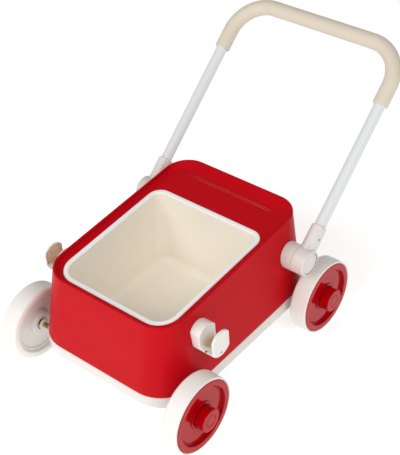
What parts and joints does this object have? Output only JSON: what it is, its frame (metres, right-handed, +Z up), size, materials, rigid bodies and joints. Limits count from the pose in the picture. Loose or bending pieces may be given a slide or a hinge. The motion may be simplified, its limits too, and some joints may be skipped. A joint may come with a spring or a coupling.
{
  "type": "toy shopping trolley",
  "caption": "Child's push-along shopping trolley: red tapered body with a lift-out bin, free-rolling wheels and a padded handle that folds forward into side clips.",
  "frame": {"origin": "on the floor, under the middle of the whole trolley with its handle up", "axes": "+X to the trolley's right-hand side as seen from behind the front, -Y to the front, +Z up"},
  "size_m": [0.373, 0.6086, 0.3841],
  "materials": {
    "red_shell": "satin moulded plastic, saturated red",
    "red_gloss": "glossy moulded plastic, deep red",
    "white_plastic": "satin moulded plastic, warm white",
    "tyre_white": "smooth soft-touch tyre, warm white",
    "cream_plastic": "satin moulded plastic, cream",
    "white_tube": "gloss powder-coated steel tube, cool white",
    "grip_beige": "matte foam-rubber sleeve, beige",
    "yellow_zinc": "yellow-passivated steel rod",
    "screw_steel": "small plated screws"
  },
  "bodies": {
    "chassis": {"body_shell": "red_shell", "base_tray": "white_plastic", "base_screws": "screw_steel", "front_axle": "yellow_zinc", "rear_axle": "yellow_zinc", "axle_washers": "white_plastic", "axle_retainers": "screw_steel", "hinge_boss_right": "white_plastic", "hinge_boss_left": "white_plastic", "pivot_pin_right": "screw_steel", "pivot_pin_left": "screw_steel", "clip_body_right": "white_plastic", "clip_body_left": "white_plastic", "clip_cover_right": "white_plastic", "clip_cover_left": "white_plastic", "clip_screws": "screw_steel", "wall_screws": "screw_steel"},
    "handle": {"handle_tube": "white_tube", "grip": "grip_beige", "knuckle_right": "white_plastic", "knuckle_left": "white_plastic", "socket_screws": "screw_steel", "button_springs": "screw_steel"},
    "button_right": {"release_button_right": "white_plastic"},
    "button_left": {"release_button_left": "white_plastic"},
    "bin": {"bin": "cream_plastic"},
    "wheel_front_left": {"tyre_front_left": "tyre_white", "core_front_left": "white_plastic", "hub_cap_front_left": "red_gloss", "hub_knob_front_left": "red_gloss"},
    "wheel_front_right": {"tyre_front_right": "tyre_white", "core_front_right": "white_plastic", "hub_cap_front_right": "red_gloss", "hub_knob_front_right": "red_gloss"},
    "wheel_rear_left": {"tyre_rear_left": "tyre_white", "core_rear_left": "white_plastic", "hub_cap_rear_left": "red_gloss", "hub_knob_rear_left": "red_gloss"},
    "wheel_rear_right": {"tyre_rear_right": "tyre_white", "core_rear_right": "white_plastic", "hub_cap_rear_right": "red_gloss", "hub_knob_rear_right": "red_gloss"}
  },
  "joints": [
    {"name": "wheel_front_left_spin", "type": "hinge", "parent": "chassis", "child": "wheel_front_left", "pos_m": [-0.1588, -0.24427, 0.06], "axis": [1, 0, 0], "continuous": true},
    {"name": "wheel_front_right_spin", "type": "hinge", "parent": "chassis", "child": "wheel_front_right", "pos_m": [0.1588, -0.24427, 0.06], "axis": [1, 0, 0], "continuous": true},
    {"name": "wheel_rear_left_spin", "type": "hinge", "parent": "chassis", "child": "wheel_rear_left", "pos_m": [-0.1588, 0.05693, 0.06], "axis": [1, 0, 0], "continuous": true},
    {"name": "wheel_rear_right_spin", "type": "hinge", "parent": "chassis", "child": "wheel_rear_right", "pos_m": [0.1588, 0.05693, 0.06], "axis": [1, 0, 0], "continuous": true},
    {"name": "handle_fold", "type": "hinge", "parent": "chassis", "child": "handle", "pos_m": [0, 0.02382, 0.147], "axis": [1, 0, 0], "range_deg": [0, 140]},
    {"name": "button_right_press", "type": "slide", "parent": "handle", "child": "button_right", "axis": [-1, 0, 0], "range_m": [0, 0.0025], "stiffness_N_per_m": 800, "springref_m": -0.002},
    {"name": "button_left_press", "type": "slide", "parent": "handle", "child": "button_left", "axis": [1, 0, 0], "range_m": [0, 0.0025], "stiffness_N_per_m": 800, "springref_m": -0.002},
    {"name": "bin_lift", "type": "slide", "parent": "chassis", "child": "bin", "axis": [0, 0, 1], "range_m": [0, 0.15]}
  ]
}
